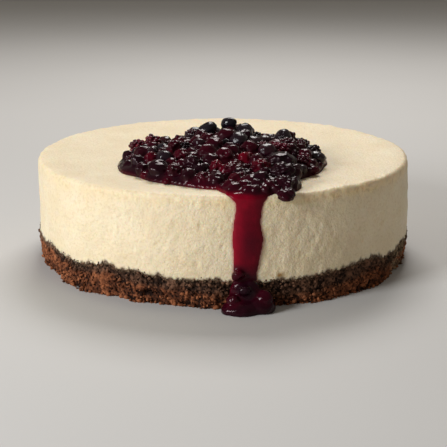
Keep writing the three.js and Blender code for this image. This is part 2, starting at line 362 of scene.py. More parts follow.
def cells(points, size, seed=0):
    """Distance to the nearest jittered centre, one per lattice cell, and a value of that centre."""
    place = points / size
    cell = np.floor(place).astype(np.int64)
    nearest = np.full(len(points), 9.0)
    value = np.zeros(len(points))
    for offset in itertools.product((-1, 0, 1), repeat=3):
        corner = cell + offset
        centre = corner + np.stack([hashed(*corner.T, seed + axis) for axis in range(3)], axis=1)
        distance = np.linalg.norm(place - centre, axis=1)
        closer = distance < nearest
        nearest[closer] = distance[closer]
        value[closer] = hashed(*corner.T, seed + 3)[closer]
    return nearest, value


def smoothstep(value, low, high):
    """From 0 at low to 1 at high, without a kink."""
    share = np.clip((value - low) / (high - low), 0, 1)
    return share * share * (3 - 2 * share)


def smooth_max(values, softness):
    """The largest of several arrays, with soft passages between them."""
    values = np.stack(values)
    top = values.max(axis=0)
    return top + softness * np.log(np.exp((values - top) / softness).sum(axis=0))


# Surfaces of the cake

def from_front(angle):
    """The angle to the right of the front in degrees, from -180 to 180."""
    return (np.degrees(angle) + 270) % 360 - 180


def by_angle(stops, angle):
    """A value between stops, which are pairs of degrees to the right of the front and a value."""
    return np.interp(from_front(angle), *zip(*stops), period=360)


def base_side(angle):
    """Height of the seam at the side, ragged where the filling ran between the crumbs."""
    level = np.zeros_like(angle)
    along = TIN_RADIUS * np.stack([np.cos(angle), np.sin(angle), level], axis=-1).reshape(-1, 3)
    ragged = 0.7 * noise(along, 5, 7) + 0.55 * noise(along, 2.2, 8)
    return by_angle(SEAM, angle) + ragged.reshape(np.shape(angle))


def seam_height(radius, angle):
    """Height of the seam inside the cake: level in the middle, and as at the side near it."""
    rise = smoothstep(radius, 0.8 * TIN_RADIUS, TIN_RADIUS)
    return BASE_MIDDLE + (base_side(angle) - BASE_MIDDLE) * rise


def side_radius(z, angle):
    """Radius of the cake's side, a little wider at the foot and a little out of round."""
    spread = FOOT_SPREAD * (1 - z / CAKE_HEIGHT)
    return TIN_RADIUS + spread + 0.35 * np.sin(3 * angle + 0.06 * z) + 0.2 * np.sin(8 * angle - 0.1 * z)


def top_height(radius):
    """Height of the slightly dished top."""
    return CAKE_HEIGHT - TOP_DISH * (1 - np.minimum(1, radius / (0.93 * TIN_RADIUS)) ** 4)


def top_with_rim(radius):
    """Height of the cake's surface, rounded down at the rim."""
    beyond = np.clip(radius - (TIN_RADIUS - RIM_ROUND), 0, RIM_ROUND)
    return top_height(radius) - RIM_ROUND + np.sqrt(RIM_ROUND**2 - beyond**2)


def depth_over_cake(points):
    """How far each point lies outside the cake's surface."""
    radius = np.hypot(points[:, 0], points[:, 1])
    angle = np.arctan2(points[:, 1], points[:, 0])
    out = radius - side_radius(np.clip(points[:, 2], 0, CAKE_HEIGHT), angle) + RIM_ROUND
    up = points[:, 2] - top_height(radius) + RIM_ROUND
    outside = np.hypot(np.maximum(out, 0), np.maximum(up, 0))
    return outside + np.minimum(np.maximum(out, up), 0) - RIM_ROUND


# Berries of the heap

def heap_rise(x, y):
    """How far the core of the heap rises over the cake, with its lean, its dips and the lobe at the rim."""
    dome = 1 - (np.hypot(x - POOL["x"], y - POOL["y"]) / POOL["radius"]) ** 2
    lobe = 1 - (np.hypot(x - LOBE["x"], y - LOBE["y"]) / LOBE["radius"]) ** 2
    lean = 1 + HEAP_LEAN * (y - POOL["y"]) / POOL["radius"]
    domed = HEAP_HEIGHT * np.maximum(0, dome) ** 0.8 * lean
    for middle, half, share in HEAP_DIPS:
        domed = domed * (1 - share * np.exp(-(((x - middle) / half) ** 2)) * smoothstep(y, -45, -20))
    return np.maximum(domed, LOBE["rise"] * np.sqrt(np.maximum(0, lobe)))


def seated(berry):
    """A berry in its place. Sauce coats most at the front, fewer at the back, and all the small ones."""
    kind, x, y, r, redness, z = berry
    if z is None:
        z = top_height(math.hypot(x, y)) + max(heap_rise(x, y) + 0.25 * r, 0.8 * r)
    middle = np.array([x, y, float(z)])
    coated_share = 0.95 - 0.6 * smoothstep(y, -75, -10)
    coated = hashed(int(10 * x), int(10 * y), 0, 5) < coated_share or y < -100 or r < 2.5
    return {"kind": kind, "middle": middle, "r": r, "redness": redness, "coated": coated}


def heap_berries():
    """The berries that stand out, then smaller and smaller ones wherever there is room."""
    draws = seeded_draws(HEAP_SEED)
    berries = [seated(berry) for berry in LANDMARKS]
    for tries, small, large, room in HEAP_ROUNDS:
        for count in range(tries):
            reach = 0.95 * POOL["radius"] * math.sqrt((count + 0.5) / tries)
            turn = count * GOLDEN_ANGLE
            x = POOL["x"] + reach * math.cos(turn) + 3 * (next(draws) - 0.5)
            y = POOL["y"] + reach * math.sin(turn) + 3 * (next(draws) - 0.5)
            r = small + (large - small) * next(draws)
            kind = "bramble" if next(draws) < BRAMBLE_SHARE else "smooth"
            redness = next(draws) * (0.8 if kind == "bramble" else 0.45)
            gaps = [math.dist((x, y), other["middle"][:2]) / (r + other["r"]) for other in berries]
            if min(gaps) > room:
                berries.append(seated((kind, x, y, r, redness, None)))
    return berries


# Making meshes

def new_piece(name, points, faces, material, slot, *nodes):
    """A smooth-shaded piece that rides on the cake and stands for some nodes. Points are in millimetres."""
    mesh = bpy.data.meshes.new(name)
    mesh.from_pydata((np.asarray(points) * MM).tolist(), [], faces)
    mesh.validate()
    piece = bpy.data.objects.new(name, mesh)
    bpy.context.scene.collection.objects.link(piece)
    face_outwards(mesh)
    return dress(piece, material, slot, *nodes)


def dress(piece, material, slot, *nodes):
    """Gives a piece its material, and says what it rides on and stands for."""
    piece.data.materials.append(material)
    piece.data.polygons.foreach_set("use_smooth", [True] * len(piece.data.polygons))
    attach(piece, "root")
    if nodes:
        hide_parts(*nodes)
    return piece


def face_outwards(mesh):
    shape = bmesh.new()
    shape.from_mesh(mesh)
    bmesh.ops.remove_doubles(shape, verts=shape.verts, dist=1e-7)
    bmesh.ops.recalc_face_normals(shape, faces=shape.faces)
    shape.to_mesh(mesh)
    shape.free()


def points_of(mesh):
    """A mesh's points in millimetres, and its normals."""
    points = np.empty(3 * len(mesh.vertices))
    normals = np.empty(3 * len(mesh.vertices))
    mesh.vertices.foreach_get("co", points)
    mesh.vertices.foreach_get("normal", normals)
    return points.reshape(-1, 3) / MM, normals.reshape(-1, 3)


def move_points(mesh, points):
    mesh.vertices.foreach_set("co", (points * MM).ravel())
    mesh.update()


def paint(mesh, name, values):
    """Keeps one number per point of a mesh, for its material to read."""
    layer = mesh.attributes.new(name, "FLOAT", "POINT")
    layer.data.foreach_set("value", np.asarray(values, np.float32))


def turns(steps):
    """Angles once round, evenly spaced."""
    return 2 * math.pi * np.arange(steps) / steps


def ring_piece(name, steps, rows, material, slot, *nodes):
    """A closed piece of rings about the cake's axis. Each row is a radius and a height, for all angles."""
    angle = turns(steps)
    rings = []
    for radius, height in rows:
        height = np.broadcast_to(height, steps)
        rings.append(np.stack([radius * np.cos(angle), radius * np.sin(angle), height], axis=1))
    step = np.arange(steps)
    after = (step + 1) % steps
    faces = []
    for row in range(len(rows) - 1):
        low, high = row * steps, (row + 1) * steps
        faces += np.stack([low + step, low + after, high + after, high + step], axis=1).tolist()
    return new_piece(name, np.concatenate(rings), faces, material, slot, *nodes)


def icosphere(level):
    """Points and triangles of a unit icosphere."""
    shape = bmesh.new()
    bmesh.ops.create_icosphere(shape, subdivisions=level, radius=1)
    points = np.array([vertex.co for vertex in shape.verts])
    faces = np.array([[vertex.index for vertex in face.verts] for face in shape.faces])
    shape.free()
    return points, faces


def turned(rng):
    """A random turn, as a matrix."""
    q = rng.normal(size=4)
    w, x, y, z = q / np.linalg.norm(q)
    return np.array([
        [1 - 2 * (y * y + z * z), 2 * (x * y - z * w), 2 * (x * z + y * w)],
        [2 * (x * y + z * w), 1 - 2 * (x * x + z * z), 2 * (y * z - x * w)],
        [2 * (x * z - y * w), 2 * (y * z + x * w), 1 - 2 * (x * x + y * y)],
    ])


def joined(parts):
    """Several (points, triangles, values) as one. A part has one row of values, or one for each point."""
    start = 0
    faces = []
    values = []
    for points, triangles, value in parts:
        faces.append(triangles + start)
        values.append(value if np.ndim(value) == 2 else np.tile(value, (len(points), 1)))
        start += len(points)
    return np.concatenate([part[0] for part in parts]), np.concatenate(faces), np.concatenate(values)


# Materials

def new_material(name):
    material = bpy.data.materials.new(name)
    material.use_nodes = True
    return material, material.node_tree, material.node_tree.nodes["Principled BSDF"]


def add_node(tree, kind, inputs=(), **settings):
    """A node with its settings, and inputs that are values or other nodes' sockets."""
    node = tree.nodes.new(kind)
    for key, value in settings.items():
        setattr(node, key, value)
    for key, value in dict(inputs).items():
        if isinstance(value, bpy.types.NodeSocket):
            tree.links.new(value, node.inputs[key])
        else:
            node.inputs[key].default_value = value
    return node


def coordinates(tree):
    return add_node(tree, "ShaderNodeTexCoord").outputs["Object"]


def noise_node(tree, size_mm, detail=3, rough=0.55):
    """Noise with features about that size."""
    inputs = {
        "Vector": coordinates(tree),
        "Scale": 1 / (size_mm * MM),
        "Detail": detail,
        "Roughness": rough,
    }
    return add_node(tree, "ShaderNodeTexNoise", inputs).outputs["Fac"]


def ramp_node(tree, value, stops):
    """A colour ramp through (place, colour) stops."""
    node = add_node(tree, "ShaderNodeValToRGB", {"Fac": value})
    elements = node.color_ramp.elements
    for element, (place, color) in zip(elements, (stops[0], stops[-1])):
        element.position = place
        element.color = (*color, 1)
    for place, color in stops[1:-1]:
        elements.new(place).color = (*color, 1)
    return node.outputs["Color"]


def mix_node(tree, share, first, second, blend="MIX"):
    inputs = {0: share, 6: first, 7: second}
    return add_node(tree, "ShaderNodeMix", inputs, data_type="RGBA", blend_type=blend).outputs[2]


def math_node(tree, operation, *values, clamp=False):
    node = add_node(tree, "ShaderNodeMath", dict(enumerate(values)), operation=operation)
    node.use_clamp = clamp
    return node.outputs[0]


def bump_node(tree, height, depth_mm, below=None):
    inputs = {"Height": height, "Distance": depth_mm * MM, "Strength": 1.0}
    if below is not None:
        inputs["Normal"] = below
    return add_node(tree, "ShaderNodeBump", inputs).outputs["Normal"]


def attribute_node(tree, name):
    return add_node(tree, "ShaderNodeAttribute", attribute_name=name).outputs["Fac"]


def cream_color(tree):
    """Unevenly pale and finely specked."""
    cream = ramp_node(tree, noise_node(tree, 18, 4), [
        (0.3, (0.83, 0.69, 0.465)),
        (0.7, (0.89, 0.765, 0.55)),
    ])
    speck = ramp_node(tree, noise_node(tree, 1.6, 3), [(0.32, (0.82, 0.76, 0.64)), (0.5, (1, 1, 1))])
    return mix_node(tree, 0.5, cream, speck, "MULTIPLY")


def marked_cream(tree, cream):
    """The cream, browned under the rim, toasted, crumby at its foot and stained beside the drip."""
    toasted_brown = (0.34, 0.17, 0.025, 1)
    crumb_brown = (0.10, 0.055, 0.03, 1)
    sauce_stain = (0.55, 0.16, 0.16, 1)
    browned = math_node(tree, "MULTIPLY", attribute_node(tree, "browned"), 0.8, clamp=True)
    baked = ramp_node(tree, noise_node(tree, 4, 3), [
        (0.36, (0.60, 0.41, 0.16)),
        (0.52, (0.95, 0.76, 0.42)),
    ])
    cream = mix_node(tree, browned, cream, baked)
    cream = mix_node(tree, attribute_node(tree, "toasted"), cream, toasted_brown)
    crumby = math_node(tree, "MULTIPLY_ADD", noise_node(tree, 1.2, 2), 1.4, -0.7)
    crumby = math_node(tree, "ADD", crumby, attribute_node(tree, "crumby"), clamp=True)
    crumby = math_node(tree, "MULTIPLY", crumby, attribute_node(tree, "crumby"), clamp=True)
    cream = mix_node(tree, crumby, cream, crumb_brown)
    return mix_node(tree, attribute_node(tree, "stained"), cream, sauce_stain)


def filling_material():
    material, tree, shader = new_material("baked_cream")
    tree.links.new(marked_cream(tree, cream_color(tree)), shader.inputs["Base Color"])
    pores = add_node(tree, "ShaderNodeTexVoronoi", {"Vector": coordinates(tree), "Scale": 1 / (2.6 * MM)})
    pits = ramp_node(tree, pores.outputs["Distance"], [(0.0, (0, 0, 0)), (0.35, (1, 1, 1))])
    fine = bump_node(tree, noise_node(tree, 1.5, 3, 0.65), 0.5)
    normal = bump_node(tree, pits, 0.12, fine)
    tree.links.new(normal, shader.inputs["Normal"])
    shader.inputs["Roughness"].default_value = 0.52
    shader.inputs["Specular IOR Level"].default_value = 0.35
    shader.inputs["Subsurface Weight"].default_value = 0.35
    shader.inputs["Subsurface Radius"].default_value = (1.0, 0.6, 0.3)
    shader.inputs["Subsurface Scale"].default_value = 4 * MM
    return material


def crumb_color(tree):
    """Cocoa brown by the lightness of each crumb, which holds its own tone and a painted shade in crevices,
    pits and the hollow; darker where soaked, which at the right is also painted shade, and paler where
    smeared.
    """
    grainy = math_node(tree, "MULTIPLY_ADD", noise_node(tree, 1.1, 4, 0.7), 0.9, -0.45)
    pale = math_node(tree, "ADD", grainy, attribute_node(tree, "pale"), clamp=True)
    brown = ramp_node(tree, pale, [
        (0.1, (0.017, 0.006, 0.003)),
        (0.45, (0.155, 0.049, 0.020)),
        (0.9, (0.44, 0.158, 0.066)),
    ])
    patches = ramp_node(tree, noise_node(tree, 12, 3), [(0.35, (0.8, 0.76, 0.74)), (0.6, (1, 1, 1))])
    brown = mix_node(tree, 1.0, brown, patches, "MULTIPLY")
    soaked_and_shade = ramp_node(tree, pale, [(0.2, (0.014, 0.0065, 0.0035)), (0.8, (0.155, 0.083, 0.052))])
    # The soaked band: filling that went into the crumb, and at the right, where it is deeper, also painted
    # shade.
    brown = mix_node(tree, attribute_node(tree, "soaked_and_shade"), brown, soaked_and_shade)
    smear = ramp_node(tree, pale, [(0.2, (0.13, 0.09, 0.055)), (0.8, (0.42, 0.33, 0.21))])
    return mix_node(tree, attribute_node(tree, "smeared"), brown, smear)


def crumb_material():
    material, tree, shader = new_material("cocoa_crumb")
    tree.links.new(crumb_color(tree), shader.inputs["Base Color"])
    coarse = bump_node(tree, noise_node(tree, 1.1, 4, 0.7), 0.6)
    tree.links.new(coarse, shader.inputs["Normal"])
    shader.inputs["Roughness"].default_value = 0.9
    shader.inputs["Specular IOR Level"].default_value = 0.2
    return material


def sauce_color(tree):
    """From nearly black where the sauce is thick to a clear red where it is thin."""
    color = ramp_node(tree, attribute_node(tree, "redness"), [
        (0.0, (0.008, 0.002, 0.005)),
        (0.4, (0.040, 0.0008, 0.006)),
        (0.7, (0.12, 0.0005, 0.009)),
        (1.0, (0.25, 0.0005, 0.013)),
    ])
    patches = ramp_node(tree, noise_node(tree, 6, 3), [(0.35, (0.5, 0.5, 0.5)), (0.65, (1, 1, 1))])
    return mix_node(tree, 0.5, color, patches, "MULTIPLY")


def sauce_material():
    """Wet and glossy on the heap, and less so down the steep side, where it is a thin even film."""
    material, tree, shader = new_material("berry_sauce")
    tree.links.new(sauce_color(tree), shader.inputs["Base Color"])
    fine = bump_node(tree, noise_node(tree, 1.1, 2), 0.06)
    tree.links.new(bump_node(tree, noise_node(tree, 3, 3), 0.15, fine), shader.inputs["Normal"])
    rough = math_node(tree, "MULTIPLY_ADD", attribute_node(tree, "steep"), 0.38, 0.09)
    tree.links.new(rough, shader.inputs["Roughness"])
    shader.inputs["IOR"].default_value = 1.34
    shader.inputs["Specular IOR Level"].default_value = 0.3
    shader.inputs["Specular Tint"].default_value = (1, 0.8, 0.83, 1)
    return material


def berry_material(name, fine_mm, bump_mm):
    material, tree, shader = new_material(name)
    redness = attribute_node(tree, "redness")
    color = ramp_node(tree, redness, [
        (0.0, (0.010, 0.006, 0.011)),
        (0.4, (0.032, 0.003, 0.009)),
        (0.8, (0.085, 0.002, 0.013)),
        (1.0, (0.16, 0.002, 0.018)),
    ])
    mottle = ramp_node(tree, noise_node(tree, 2.4, 3), [(0.3, (0.45, 0.45, 0.5)), (0.7, (1, 1, 1))])
    color = mix_node(tree, 0.8, color, mottle, "MULTIPLY")
    tree.links.new(color, shader.inputs["Base Color"])
    tree.links.new(bump_node(tree, noise_node(tree, fine_mm, 3), bump_mm), shader.inputs["Normal"])
    rough = math_node(tree, "MULTIPLY_ADD", noise_node(tree, 5, 2), 0.36, 0.03)
    tree.links.new(rough, shader.inputs["Roughness"])
    shader.inputs["IOR"].default_value = 1.38
    return material


# The pieces of the cake

def filling_rows(angle):
    """Rings from the middle of the underside out to the seam, up the side, over the rim and back in."""
    seam = base_side(angle)
    rows = [(share * TIN_RADIUS, seam_height(share * TIN_RADIUS, angle)) for share in (0, 0.8, 0.96)]
    rows.append((side_radius(seam, angle) - 0.4, seam - 0.6))
    bend = CAKE_HEIGHT - RIM_ROUND
    for share in np.linspace(0, 1, SIDE_RINGS)[:-1] ** 1.3:
        z = seam + (bend - seam) * share
        rows.append((side_radius(z, angle), z))
    for turn in np.radians(np.linspace(0, 90, RIM_RINGS)):
        z = bend + RIM_ROUND * math.sin(turn)
        rows.append((side_radius(z, angle) - RIM_ROUND * (1 - math.cos(turn)), z))
    edge = TIN_RADIUS - RIM_ROUND
    for share in np.linspace(1, 0, TOP_RINGS)[1:]:
        rows.append((edge * share, top_height(edge * share)))
    return rows


def filling():
    """The filling, uneven as baked, with its marks kept for the material."""
    rows = filling_rows(turns(FILLING_STEPS))
    material = filling_material()
    piece = ring_piece("baked_filling", FILLING_STEPS, rows, material, "filling", "cheese_filling")
    mesh = piece.data
    points, normals = points_of(mesh)
    height = points[:, 2]
    radius = np.hypot(points[:, 0], points[:, 1])
    points = points + normals * filling_relief(points, height, radius)[:, None]
    move_points(mesh, points)
    paint(mesh, "browned", browned_share(points, height, radius))
    paint(mesh, "toasted", toasted_share(points, height))
    paint(mesh, "crumby", crumby_share(points, height))
    paint(mesh, "stained", stained_share(points, height))


def filling_relief(points, height, radius):
    """The unevenness that the batter and the tin left, and none on the hidden underside."""
    side = smoothstep(radius, TIN_RADIUS - 6, TIN_RADIUS - 2)
    relief = 0.35 * noise(points, 34, 1) + 0.18 * noise(points, 11, 2)
    relief += side * (0.22 * noise(points, 5, 3) + 0.22 * noise(points * (1, 1, 0.8), 2.4, 4))
    pocked, _ = cells(points, 8, 5)
    relief -= side * 0.5 * (1 - smoothstep(pocked, 0.06, 0.2))
    at_rim = np.exp(-(((height - CAKE_HEIGHT + 1.5) / 2) ** 2)) * side
    relief += 0.2 * at_rim * noise(points, 4, 8)
    outer = (height > BASE_MIDDLE + 1) & ((radius > TIN_RADIUS - 8) | (height > CAKE_HEIGHT - 8))
    return relief * outer


def browned_share(points, height, radius):
    """From 0 to 1, how browned the filling is: in patches just under the rim, most of all at the right."""
    from_band = height - CAKE_HEIGHT + 4 + 1.3 * noise(points, 6, 7)
    band = np.exp(-((from_band / 2.4) ** 2)) * smoothstep(radius, TIN_RADIUS - 3, TIN_RADIUS - 0.5)
    patchy = 0.6 + 0.4 * smoothstep(noise(points, 9, 6), -0.1, 0.6)
    return band * patchy * (0.3 + 0.7 * smoothstep(points[:, 0], -60, 60))


def toasted_share(points, height):
    """From 0 to 1, how far each point is inside the toasted spot, on the front of the cake."""
    across = (points[:, 0] - TOASTED["x"]) / TOASTED["half_width"]
    up = (height - TOASTED["z"]) / TOASTED["half_height"]
    spot = np.exp(-(across**2) - up**2) * (points[:, 1] < 0)
    return spot * smoothstep(noise(points, 2.2, 15), -0.5, 0.2)


def crumby_share(points, height):
    """From 0 to 1, how much fine crumb sticks to the foot of the filling, in upright streaks."""
    angle = np.arctan2(points[:, 1], points[:, 0])
    along = np.stack([TIN_RADIUS * angle, 0 * angle, 0.3 * height], axis=1)
    streaks = 1.5 * noise(along, 1.6, 9) + 0.8 * noise(along, 6, 10)
    return 1 - smoothstep(height - base_side(angle) - streaks, -0.3, 2.6)


def stained_share(points, height):
    """From 0 to 1, how much the sauce stained the filling close beside the drip."""
    left, right = drip_edges(height)
    beside = np.maximum(left - points[:, 0], points[:, 0] - right)
    at_drip = (points[:, 1] < -90) & (height < CAKE_HEIGHT - 1)
    return 0.75 * (1 - smoothstep(beside, -0.5, 1.1)) * at_drip


def hollow_share(height, angle):
    """From 0 to 1, how far each point of the crumb's side is inside the hollow."""
    across = (from_front(angle) - HOLLOW["angle"]) / HOLLOW["half_width"]
    up = (height - HOLLOW["z"]) / HOLLOW["half_height"]
    return np.exp(-(across**4) - up**2)


def crumb_side(height, angle):
    """Radius of the broken side of the crumb, flush with the filling at the seam and uneven at the foot."""
    share = height / base_side(angle)
    foot = by_angle(FOOT, angle)
    hollow = HOLLOW["depth"] * hollow_share(height, angle)
    return foot + (CRUMB_RADIUS + 1.4 - foot) * share**0.6 - hollow


def crumb_base():
    """The crumb layer: in along its top to the seam, down its broken side and in along the underside."""
    angle = turns(CRUMB_STEPS)
    side = base_side(angle)
    rows = [(share * TIN_RADIUS, seam_height(share * TIN_RADIUS, angle)) for share in (0, 0.8, 0.93)]
    rows += [(TIN_RADIUS - inset, side + 0.2) for inset in (5, 3.4, 2.0, 0.6)]
    for share in np.linspace(1, 0, CRUMB_RINGS):
        rows.append((crumb_side(side * share, angle), side * share))
    rows += [(CRUMB_RADIUS - 4, 0), (CRUMB_RADIUS - 8, 0), (0, 0)]
    piece = ring_piece("crumb_layer", CRUMB_STEPS, rows, crumb_material(), "crumb", "crumb_base")
    relieve_crumb(piece.data)
    return piece


def relieve_crumb(mesh):
    """Crags of broken crumb. Its crevices, pits and the hollow are painted darker and the raised crags
    lighter, a painted shade and light, and the band that the filling soaked is darker too, deeper at the
    right as painted shade.
    """
    points, normals = points_of(mesh)
    radius = np.hypot(points[:, 0], points[:, 1])
    relief = 0.8 * noise(points, 14, 872)
    for size, depth, seed in CRAGS:
        distance, value = cells(points, size, seed)
        relief += depth * (0.5 - distance) * (0.3 + value)
    pit, _ = cells(points, 2, 60)
    pit = 1 - smoothstep(pit, 0.15, 0.45)
    relief -= 0.7 * pit
    undercut = smoothstep(noise(points, 8, 13), 0, 0.5) * (1 - smoothstep(points[:, 2], 1.5, 4))
    relief -= 1.1 * undercut
    at_side = smoothstep(radius, TIN_RADIUS - 7, TIN_RADIUS - 3)
    push = normals * (relief * at_side)[:, None]
    push[:, 2] *= smoothstep(points[:, 2], 0.2, 2)
    moved = points + push
    moved[:, 2] = np.maximum(moved[:, 2], 0)
    move_points(mesh, moved)
    angle = np.arctan2(points[:, 1], points[:, 0])
    # The soaked band is painted darker; its extra depth at the right is painted shade.
    paint(mesh, "soaked_and_shade", soaked_and_shade_share(points, angle))
    paint(mesh, "smeared", smeared_share(points, angle))
    _, nugget = cells(points, 2.4, 50)
    # Lightness of each crumb: the nugget term is its own tone, while lighter on raised crags and darker in
    # crevices, pits and the hollow is painted light and shade.
    pale = 0.5 + 0.3 * relief + 0.5 * (nugget - 0.5) - 0.3 * pit - 0.4 * hollow_share(points[:, 2], angle)
    paint(mesh, "pale", np.clip(pale, 0, 1))


def soaked_and_shade_share(points, angle):
    """From 0 to 1, how much of the filling went into the crumb at each point; the deeper band at the right
    is also painted shade.
    """
    deep = by_angle(SOAKED_AND_SHADE, angle)
    from_seam = base_side(angle) - points[:, 2] + 1.6 * noise(points, 6, 12)
    return 0.85 * (1 - smoothstep(from_seam, 0.6 * deep, 1.2 * deep))


def smeared_share(points, angle):
    """From 0 to 1, how much filling lies on the crumb: between the crumbs at the seam, and in one smear."""
    away = (from_front(angle) - SMEAR["angle"]) / SMEAR["half_width"]
    patchy = smoothstep(noise(points, 3, 14) + 0.05 * points[:, 2], -0.2, 0.7)
    below_seam = np.maximum(base_side(angle) - points[:, 2], 0)
    at_seam = 0.4 * np.exp(-((below_seam / 1.6) ** 2)) * smoothstep(noise(points, 1.5, 16), -0.7, 0.3)
    return np.maximum(0.85 * np.exp(-(away**4)) * patchy, at_seam)


def grain_place(rng, angle):
    """Size, radius and height of a loose crumb: on the broken side, at the seam or at the foot."""
    size = 0.45 + 0.9 * rng.random() ** 2.5
    place = rng.random()
    angles = np.array([angle])
    seam = base_side(angles)[0]
    if place < GRAINS_ON_SIDE:
        z = rng.uniform(0.05, 1) * seam
        radius = crumb_side(z, angles)[0] + rng.uniform(-0.6, 0.5)
    elif place < GRAINS_ON_SIDE + GRAINS_AT_SEAM:
        size *= 0.6
        z = seam + rng.uniform(-1.2, 0.5) + 1.4 * rng.random() ** 5
        radius = side_radius(z, angle) + rng.uniform(-0.4, 0)
    else:
        size *= rng.uniform(0.7, 1.5)
        z = 0.55 * size
        radius = crumb_side(z, angles)[0] + rng.uniform(-0.7, 0.8)
    return size, radius, z


def crumb_grains(material):
    """Loose crumb, each grain an uneven lump with its own turn and lightness."""
    rng = np.random.default_rng(77)
    solid, faces = icosphere(1)
    parts = []
    for _ in range(GRAIN_COUNT):
        angle = rng.uniform(-math.pi, math.pi)
        size, radius, z = grain_place(rng, angle)
        shape = solid * rng.uniform(0.65, 1.3, (len(solid), 1)) * rng.uniform(0.6, 1.3, 3) * size
        shape = shape @ turned(rng).T + (radius * math.cos(angle), radius * math.sin(angle), z)
        shape[:, 2] = np.maximum(shape[:, 2], 0)
        middle = shape.mean(axis=0)[None]
        soaked_and_shade = soaked_and_shade_share(middle, np.array([angle]))[0]
        smeared = smeared_share(middle, np.array([angle]))[0]
        # Grains inside the hollow are painted darker, a painted shade.
        pale = rng.uniform(0.2, 0.85) - 0.4 * hollow_share(z, angle)
        parts.append((shape, faces, (soaked_and_shade, smeared, pale)))
    points, triangles, values = joined(parts)
    piece = new_piece("crumb_grains", points, triangles.tolist(), material, "crumb")
    paint(piece.data, "soaked_and_shade", values[:, 0])
    paint(piece.data, "smeared", values[:, 1])
    paint(piece.data, "pale", values[:, 2])


# The compote

def inside_pool(x, y):
    """How far inside the pool's outline each place is."""
    turn = np.degrees(np.arctan2(y - POOL["y"], x - POOL["x"]))
    reach = np.interp(turn, *zip(*POOL_EDGE), period=360) + 0.5 * np.sin(np.radians(13 * turn))
    distance = np.hypot(x - POOL["x"], y - POOL["y"])
    return np.minimum(reach - distance, TIN_RADIUS + 0.5 - np.hypot(x, y))


def drip_edges(z):
    """Left and right edge of the drip at a height."""
    heights, lefts, rights = zip(*DRIP_EDGES)
    return np.interp(z, heights, lefts), np.interp(z, heights, rights)


def shell(outer, inner, kept):
    """A closed shell between two grids of points, over the cells that are kept."""
    rows, columns = kept.shape[0] + 1, kept.shape[1] + 1
    index = np.arange(rows * columns).reshape(rows, columns)
    corners = [index[:-1, :-1], index[1:, :-1], index[1:, 1:], index[:-1, 1:]]
    faces = [np.stack([corner[kept] for corner in corners], axis=1)]
    faces.append(faces[0][:, ::-1] + rows * columns)
    framed = np.pad(kept, 1)
    for side, (down, across) in enumerate([(0, -1), (1, 0), (0, 1), (-1, 0)]):
        beside = framed[1 + down:framed.shape[0] - 1 + down, 1 + across:framed.shape[1] - 1 + across]
        edge = kept & ~beside
        a = corners[side][edge]
        b = corners[(side + 1) % 4][edge]
        faces.append(np.stack([b, a, a + rows * columns, b + rows * columns], axis=1))
    points = np.concatenate([outer.reshape(-1, 3), inner.reshape(-1, 3)])
    return points, np.concatenate(faces)


def whole_cells(kept_points):
    """The cells of a grid whose four corners are all kept."""
    return kept_points[:-1, :-1] & kept_points[1:, :-1] & kept_points[:-1, 1:] & kept_points[1:, 1:]


def pool_shell(berries):
    """The sauce on top of the cake: the pool, and what lies over and between the berries."""
    x, y = np.meshgrid(np.arange(-70, 72, POOL_STEP), np.arange(-120, 36, POOL_STEP), indexing="ij")
    radius = np.hypot(x, y)
    floor = top_with_rim(radius)
    inside = inside_pool(x, y)
    film = POOL["thickness"] * np.sqrt(1 - (1 - np.clip(inside / 6, 0, 1)) ** 2)
    plan = np.stack([x, y, 0 * x], axis=-1).reshape(-1, 3)
    level = SAUCE_LEVEL + 0.9 * noise(plan, 7, 63).reshape(x.shape)
    core = np.where(heap_rise(x, y) > 0, heap_rise(x, y) + level, -20)
    surfaces = [film, core]
    for berry in berries:
        r = berry["r"] + 0.7
        berry_x, berry_y, berry_z = berry["middle"]
        distance = np.hypot(x - berry_x, y - berry_y)
        cap = np.sqrt(np.maximum(r * r - distance * distance, 0)) - 4 * np.maximum(distance - r, 0)
        surfaces.append(berry_z - top_height(math.hypot(berry_x, berry_y)) + cap - 0.6 * r - SINK)
    rise = smooth_max(surfaces, MENISCUS) - 0.8 * (inside > 6)
    heaped = smoothstep(inside, -2, 5)
    rise = np.where(inside > 0, rise * heaped + film * (1 - heaped), 0)
    outer = np.stack([x, y, floor + rise], axis=-1)
    inner = np.stack([x, y, floor - SAUCE_BELOW], axis=-1)
    return shell(outer, inner, whole_cells(inside > 0))


def drip_shell():
    """The sauce that runs over the rim and down the side, as a thickness over the cake's profile."""
    arc = RIM_ROUND * math.pi / 2
    bend = CAKE_HEIGHT - RIM_ROUND
    across_step, down_step = DRIP_STEPS
    x, along = np.meshgrid(
        np.arange(-4, 34, across_step), np.arange(-14, arc + bend, down_step), indexing="ij"
    )
    turn = np.clip(along / RIM_ROUND, 0, math.pi / 2)
    z = np.where(along < arc, bend + RIM_ROUND * np.cos(turn), bend - (along - arc))
    shelf = TIN_RADIUS - RIM_ROUND + RIM_ROUND * np.sin(turn) + np.minimum(along, 0)
    wall = side_radius(z, -math.pi / 2)
    radius = np.where(along < arc, shelf, wall)
    left, right = drip_edges(z)
    middle = (left + right) / 2
    half = (right - left) / 2
    share = np.clip(1 - ((x - middle) / half) ** 2, 0, 1)
    thick = DRIP_THICKNESS * share**0.55
    thick = thick * (1 + 0.35 * smoothstep(-z, -22, -8) + 0.12 * np.sin(z / 5))
    layers = []
    for offset in (thick, -SAUCE_BELOW):
        out = radius + offset * np.sin(turn)
        layers.append(np.stack([x, -np.sqrt(out**2 - x**2), z + offset * np.cos(turn)], axis=-1))
    return shell(*layers, whole_cells((x > left) & (x < right)))


def blob(middle, half_sizes):
    """A lump of sauce."""
    points, faces = icosphere(4)
    return points * half_sizes + middle, faces


